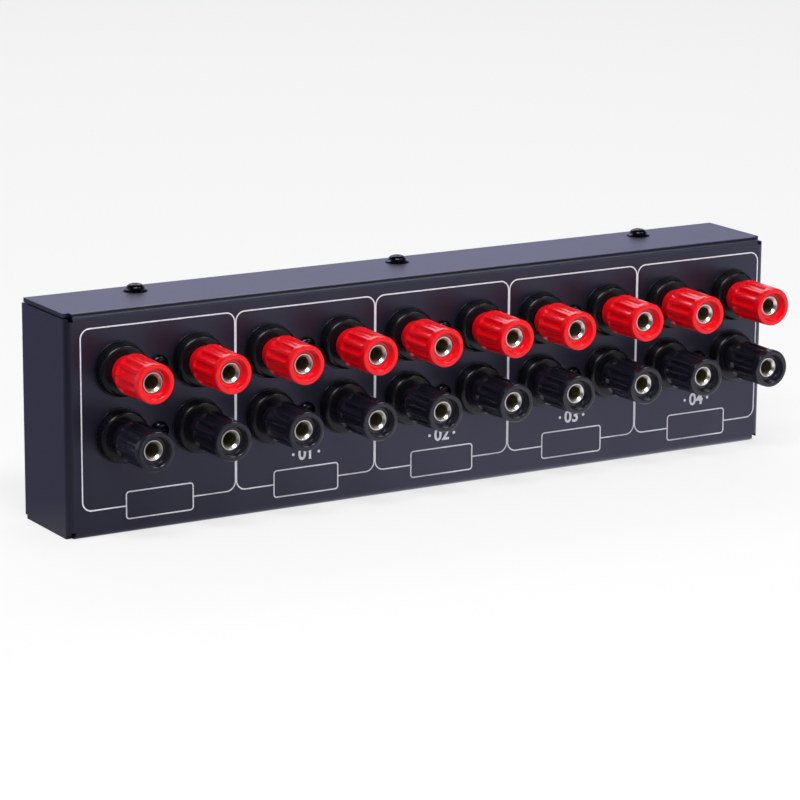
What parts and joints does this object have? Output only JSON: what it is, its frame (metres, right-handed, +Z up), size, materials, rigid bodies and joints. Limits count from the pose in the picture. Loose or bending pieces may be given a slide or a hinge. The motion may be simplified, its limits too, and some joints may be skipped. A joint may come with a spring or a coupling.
{
  "type": "speaker selector switch",
  "caption": "Long low steel box with paired screw-down banana binding posts for an amplifier input and speaker zones, and a push button for each zone on the other side.",
  "frame": {"origin": "centre of the housing's underside, midway between the terminal face and the open back", "axes": "+X along the length from the input group to the last zone, -Y out of the terminal face, +Z up"},
  "size_m": [0.237, 0.055, 0.0662],
  "materials": {
    "painted_steel": "satin black powder coat",
    "terminal_moulding": "gloss moulded",
    "red_plastic": "gloss moulded",
    "black_plastic": "gloss moulded",
    "button_plastic": "satin moulded",
    "nickel": "nickel plated",
    "brass": "turned",
    "black_screws": "black zinc",
    "zinc": "zinc plated",
    "switch_case": "moulded",
    "board": "solder resist"
  },
  "bodies": {
    "housing": {"housing": "painted_steel", "control_panel": "painted_steel", "circuit_board": "board", "terminal_studs": "nickel", "stud_nuts": "zinc", "switch_bodies": "switch_case", "plate_screws": "black_screws", "cover_screws": "black_screws", "terminal_plate_input": "terminal_moulding", "terminal_plate_zone_1": "terminal_moulding", "terminal_plate_zone_2": "terminal_moulding", "terminal_plate_zone_3": "terminal_moulding", "terminal_plate_zone_4": "terminal_moulding"},
    "button_zone_1": {"button_zone_1": "button_plastic"},
    "button_zone_2": {"button_zone_2": "button_plastic"},
    "button_zone_3": {"button_zone_3": "button_plastic"},
    "button_zone_4": {"button_zone_4": "button_plastic"},
    "insert_input_red_right": {"insert_input_red_right": "brass"},
    "knob_input_red_right": {"knob_input_red_right": "red_plastic"},
    "insert_input_red_left": {"insert_input_red_left": "brass"},
    "knob_input_red_left": {"knob_input_red_left": "red_plastic"},
    "insert_input_black_right": {"insert_input_black_right": "brass"},
    "knob_input_black_right": {"knob_input_black_right": "black_plastic"},
    "insert_input_black_left": {"insert_input_black_left": "brass"},
    "knob_input_black_left": {"knob_input_black_left": "black_plastic"},
    "insert_zone_1_red_right": {"insert_zone_1_red_right": "brass"},
    "knob_zone_1_red_right": {"knob_zone_1_red_right": "red_plastic"},
    "insert_zone_1_red_left": {"insert_zone_1_red_left": "brass"},
    "knob_zone_1_red_left": {"knob_zone_1_red_left": "red_plastic"},
    "insert_zone_1_black_right": {"insert_zone_1_black_right": "brass"},
    "knob_zone_1_black_right": {"knob_zone_1_black_right": "black_plastic"},
    "insert_zone_1_black_left": {"insert_zone_1_black_left": "brass"},
    "knob_zone_1_black_left": {"knob_zone_1_black_left": "black_plastic"},
    "insert_zone_2_red_right": {"insert_zone_2_red_right": "brass"},
    "knob_zone_2_red_right": {"knob_zone_2_red_right": "red_plastic"},
    "insert_zone_2_red_left": {"insert_zone_2_red_left": "brass"},
    "knob_zone_2_red_left": {"knob_zone_2_red_left": "red_plastic"},
    "insert_zone_2_black_right": {"insert_zone_2_black_right": "brass"},
    "knob_zone_2_black_right": {"knob_zone_2_black_right": "black_plastic"},
    "insert_zone_2_black_left": {"insert_zone_2_black_left": "brass"},
    "knob_zone_2_black_left": {"knob_zone_2_black_left": "black_plastic"},
    "insert_zone_3_red_right": {"insert_zone_3_red_right": "brass"},
    "knob_zone_3_red_right": {"knob_zone_3_red_right": "red_plastic"},
    "insert_zone_3_red_left": {"insert_zone_3_red_left": "brass"},
    "knob_zone_3_red_left": {"knob_zone_3_red_left": "red_plastic"},
    "insert_zone_3_black_right": {"insert_zone_3_black_right": "brass"},
    "knob_zone_3_black_right": {"knob_zone_3_black_right": "black_plastic"},
    "insert_zone_3_black_left": {"insert_zone_3_black_left": "brass"},
    "knob_zone_3_black_left": {"knob_zone_3_black_left": "black_plastic"},
    "insert_zone_4_red_right": {"insert_zone_4_red_right": "brass"},
    "knob_zone_4_red_right": {"knob_zone_4_red_right": "red_plastic"},
    "insert_zone_4_red_left": {"insert_zone_4_red_left": "brass"},
    "knob_zone_4_red_left": {"knob_zone_4_red_left": "red_plastic"},
    "insert_zone_4_black_right": {"insert_zone_4_black_right": "brass"},
    "knob_zone_4_black_right": {"knob_zone_4_black_right": "black_plastic"},
    "insert_zone_4_black_left": {"insert_zone_4_black_left": "brass"},
    "knob_zone_4_black_left": {"knob_zone_4_black_left": "black_plastic"}
  },
  "joints": [
    {"name": "press_zone_1", "type": "slide", "parent": "housing", "child": "button_zone_1", "axis": [0, -1, 0], "range_m": [0, 0.0035], "stiffness_N_per_m": 250},
    {"name": "press_zone_2", "type": "slide", "parent": "housing", "child": "button_zone_2", "axis": [0, -1, 0], "range_m": [0, 0.0035], "stiffness_N_per_m": 250},
    {"name": "press_zone_3", "type": "slide", "parent": "housing", "child": "button_zone_3", "axis": [0, -1, 0], "range_m": [0, 0.0035], "stiffness_N_per_m": 250},
    {"name": "press_zone_4", "type": "slide", "parent": "housing", "child": "button_zone_4", "axis": [0, -1, 0], "range_m": [0, 0.0035], "stiffness_N_per_m": 250},
    {"name": "travel_input_red_right", "type": "slide", "parent": "housing", "child": "insert_input_red_right", "axis": [0, -1, 0], "range_m": [0, 0.005]},
    {"name": "turn_input_red_right", "type": "hinge", "parent": "insert_input_red_right", "child": "knob_input_red_right", "pos_m": [-0.10195, -0.0222, 0.04755], "axis": [0, -1, 0], "range_deg": [0, 1800]},
    {"name": "travel_input_red_left", "type": "slide", "parent": "housing", "child": "insert_input_red_left", "axis": [0, -1, 0], "range_m": [0, 0.005]},
    {"name": "turn_input_red_left", "type": "hinge", "parent": "insert_input_red_left", "child": "knob_input_red_left", "pos_m": [-0.07795, -0.0222, 0.04755], "axis": [0, -1, 0], "range_deg": [0, 1800]},
    {"name": "travel_input_black_right", "type": "slide", "parent": "housing", "child": "insert_input_black_right", "axis": [0, -1, 0], "range_m": [0, 0.005]},
    {"name": "turn_input_black_right", "type": "hinge", "parent": "insert_input_black_right", "child": "knob_input_black_right", "pos_m": [-0.10195, -0.0222, 0.0285], "axis": [0, -1, 0], "range_deg": [0, 1800]},
    {"name": "travel_input_black_left", "type": "slide", "parent": "housing", "child": "insert_input_black_left", "axis": [0, -1, 0], "range_m": [0, 0.005]},
    {"name": "turn_input_black_left", "type": "hinge", "parent": "insert_input_black_left", "child": "knob_input_black_left", "pos_m": [-0.07795, -0.0222, 0.0285], "axis": [0, -1, 0], "range_deg": [0, 1800]},
    {"name": "travel_zone_1_red_right", "type": "slide", "parent": "housing", "child": "insert_zone_1_red_right", "axis": [0, -1, 0], "range_m": [0, 0.005]},
    {"name": "turn_zone_1_red_right", "type": "hinge", "parent": "insert_zone_1_red_right", "child": "knob_zone_1_red_right", "pos_m": [-0.05485, -0.0222, 0.04755], "axis": [0, -1, 0], "range_deg": [0, 1800]},
    {"name": "travel_zone_1_red_left", "type": "slide", "parent": "housing", "child": "insert_zone_1_red_left", "axis": [0, -1, 0], "range_m": [0, 0.005]},
    {"name": "turn_zone_1_red_left", "type": "hinge", "parent": "insert_zone_1_red_left", "child": "knob_zone_1_red_left", "pos_m": [-0.03085, -0.0222, 0.04755], "axis": [0, -1, 0], "range_deg": [0, 1800]},
    {"name": "travel_zone_1_black_right", "type": "slide", "parent": "housing", "child": "insert_zone_1_black_right", "axis": [0, -1, 0], "range_m": [0, 0.005]},
    {"name": "turn_zone_1_black_right", "type": "hinge", "parent": "insert_zone_1_black_right", "child": "knob_zone_1_black_right", "pos_m": [-0.05485, -0.0222, 0.0285], "axis": [0, -1, 0], "range_deg": [0, 1800]},
    {"name": "travel_zone_1_black_left", "type": "slide", "parent": "housing", "child": "insert_zone_1_black_left", "axis": [0, -1, 0], "range_m": [0, 0.005]},
    {"name": "turn_zone_1_black_left", "type": "hinge", "parent": "insert_zone_1_black_left", "child": "knob_zone_1_black_left", "pos_m": [-0.03085, -0.0222, 0.0285], "axis": [0, -1, 0], "range_deg": [0, 1800]},
    {"name": "travel_zone_2_red_right", "type": "slide", "parent": "housing", "child": "insert_zone_2_red_right", "axis": [0, -1, 0], "range_m": [0, 0.005]},
    {"name": "turn_zone_2_red_right", "type": "hinge", "parent": "insert_zone_2_red_right", "child": "knob_zone_2_red_right", "pos_m": [-0.00915, -0.0222, 0.04755], "axis": [0, -1, 0], "range_deg": [0, 1800]},
    {"name": "travel_zone_2_red_left", "type": "slide", "parent": "housing", "child": "insert_zone_2_red_left", "axis": [0, -1, 0], "range_m": [0, 0.005]},
    {"name": "turn_zone_2_red_left", "type": "hinge", "parent": "insert_zone_2_red_left", "child": "knob_zone_2_red_left", "pos_m": [0.01485, -0.0222, 0.04755], "axis": [0, -1, 0], "range_deg": [0, 1800]},
    {"name": "travel_zone_2_black_right", "type": "slide", "parent": "housing", "child": "insert_zone_2_black_right", "axis": [0, -1, 0], "range_m": [0, 0.005]},
    {"name": "turn_zone_2_black_right", "type": "hinge", "parent": "insert_zone_2_black_right", "child": "knob_zone_2_black_right", "pos_m": [-0.00915, -0.0222, 0.0285], "axis": [0, -1, 0], "range_deg": [0, 1800]},
    {"name": "travel_zone_2_black_left", "type": "slide", "parent": "housing", "child": "insert_zone_2_black_left", "axis": [0, -1, 0], "range_m": [0, 0.005]},
    {"name": "turn_zone_2_black_left", "type": "hinge", "parent": "insert_zone_2_black_left", "child": "knob_zone_2_black_left", "pos_m": [0.01485, -0.0222, 0.0285], "axis": [0, -1, 0], "range_deg": [0, 1800]},
    {"name": "travel_zone_3_red_right", "type": "slide", "parent": "housing", "child": "insert_zone_3_red_right", "axis": [0, -1, 0], "range_m": [0, 0.005]},
    {"name": "turn_zone_3_red_right", "type": "hinge", "parent": "insert_zone_3_red_right", "child": "knob_zone_3_red_right", "pos_m": [0.03655, -0.0222, 0.04755], "axis": [0, -1, 0], "range_deg": [0, 1800]},
    {"name": "travel_zone_3_red_left", "type": "slide", "parent": "housing", "child": "insert_zone_3_red_left", "axis": [0, -1, 0], "range_m": [0, 0.005]},
    {"name": "turn_zone_3_red_left", "type": "hinge", "parent": "insert_zone_3_red_left", "child": "knob_zone_3_red_left", "pos_m": [0.06055, -0.0222, 0.04755], "axis": [0, -1, 0], "range_deg": [0, 1800]},
    {"name": "travel_zone_3_black_right", "type": "slide", "parent": "housing", "child": "insert_zone_3_black_right", "axis": [0, -1, 0], "range_m": [0, 0.005]},
    {"name": "turn_zone_3_black_right", "type": "hinge", "parent": "insert_zone_3_black_right", "child": "knob_zone_3_black_right", "pos_m": [0.03655, -0.0222, 0.0285], "axis": [0, -1, 0], "range_deg": [0, 1800]},
    {"name": "travel_zone_3_black_left", "type": "slide", "parent": "housing", "child": "insert_zone_3_black_left", "axis": [0, -1, 0], "range_m": [0, 0.005]},
    {"name": "turn_zone_3_black_left", "type": "hinge", "parent": "insert_zone_3_black_left", "child": "knob_zone_3_black_left", "pos_m": [0.06055, -0.0222, 0.0285], "axis": [0, -1, 0], "range_deg": [0, 1800]},
    {"name": "travel_zone_4_red_right", "type": "slide", "parent": "housing", "child": "insert_zone_4_red_right", "axis": [0, -1, 0], "range_m": [0, 0.005]},
    {"name": "turn_zone_4_red_right", "type": "hinge", "parent": "insert_zone_4_red_right", "child": "knob_zone_4_red_right", "pos_m": [0.08225, -0.0222, 0.04755], "axis": [0, -1, 0], "range_deg": [0, 1800]},
    {"name": "travel_zone_4_red_left", "type": "slide", "parent": "housing", "child": "insert_zone_4_red_left", "axis": [0, -1, 0], "range_m": [0, 0.005]},
    {"name": "turn_zone_4_red_left", "type": "hinge", "parent": "insert_zone_4_red_left", "child": "knob_zone_4_red_left", "pos_m": [0.10625, -0.0222, 0.04755], "axis": [0, -1, 0], "range_deg": [0, 1800]},
    {"name": "travel_zone_4_black_right", "type": "slide", "parent": "housing", "child": "insert_zone_4_black_right", "axis": [0, -1, 0], "range_m": [0, 0.005]},
    {"name": "turn_zone_4_black_right", "type": "hinge", "parent": "insert_zone_4_black_right", "child": "knob_zone_4_black_right", "pos_m": [0.08225, -0.0222, 0.0285], "axis": [0, -1, 0], "range_deg": [0, 1800]},
    {"name": "travel_zone_4_black_left", "type": "slide", "parent": "housing", "child": "insert_zone_4_black_left", "axis": [0, -1, 0], "range_m": [0, 0.005]},
    {"name": "turn_zone_4_black_left", "type": "hinge", "parent": "insert_zone_4_black_left", "child": "knob_zone_4_black_left", "pos_m": [0.10625, -0.0222, 0.0285], "axis": [0, -1, 0], "range_deg": [0, 1800]}
  ],
  "couplings": [
    {"joint": "turn_input_red_right", "follows": "travel_input_red_right", "rad_per_m": 6283.2},
    {"joint": "turn_input_red_left", "follows": "travel_input_red_left", "rad_per_m": 6283.2},
    {"joint": "turn_input_black_right", "follows": "travel_input_black_right", "rad_per_m": 6283.2},
    {"joint": "turn_input_black_left", "follows": "travel_input_black_left", "rad_per_m": 6283.2},
    {"joint": "turn_zone_1_red_right", "follows": "travel_zone_1_red_right", "rad_per_m": 6283.2},
    {"joint": "turn_zone_1_red_left", "follows": "travel_zone_1_red_left", "rad_per_m": 6283.2},
    {"joint": "turn_zone_1_black_right", "follows": "travel_zone_1_black_right", "rad_per_m": 6283.2},
    {"joint": "turn_zone_1_black_left", "follows": "travel_zone_1_black_left", "rad_per_m": 6283.2},
    {"joint": "turn_zone_2_red_right", "follows": "travel_zone_2_red_right", "rad_per_m": 6283.2},
    {"joint": "turn_zone_2_red_left", "follows": "travel_zone_2_red_left", "rad_per_m": 6283.2},
    {"joint": "turn_zone_2_black_right", "follows": "travel_zone_2_black_right", "rad_per_m": 6283.2},
    {"joint": "turn_zone_2_black_left", "follows": "travel_zone_2_black_left", "rad_per_m": 6283.2},
    {"joint": "turn_zone_3_red_right", "follows": "travel_zone_3_red_right", "rad_per_m": 6283.2},
    {"joint": "turn_zone_3_red_left", "follows": "travel_zone_3_red_left", "rad_per_m": 6283.2},
    {"joint": "turn_zone_3_black_right", "follows": "travel_zone_3_black_right", "rad_per_m": 6283.2},
    {"joint": "turn_zone_3_black_left", "follows": "travel_zone_3_black_left", "rad_per_m": 6283.2},
    {"joint": "turn_zone_4_red_right", "follows": "travel_zone_4_red_right", "rad_per_m": 6283.2},
    {"joint": "turn_zone_4_red_left", "follows": "travel_zone_4_red_left", "rad_per_m": 6283.2},
    {"joint": "turn_zone_4_black_right", "follows": "travel_zone_4_black_right", "rad_per_m": 6283.2},
    {"joint": "turn_zone_4_black_left", "follows": "travel_zone_4_black_left", "rad_per_m": 6283.2}
  ]
}
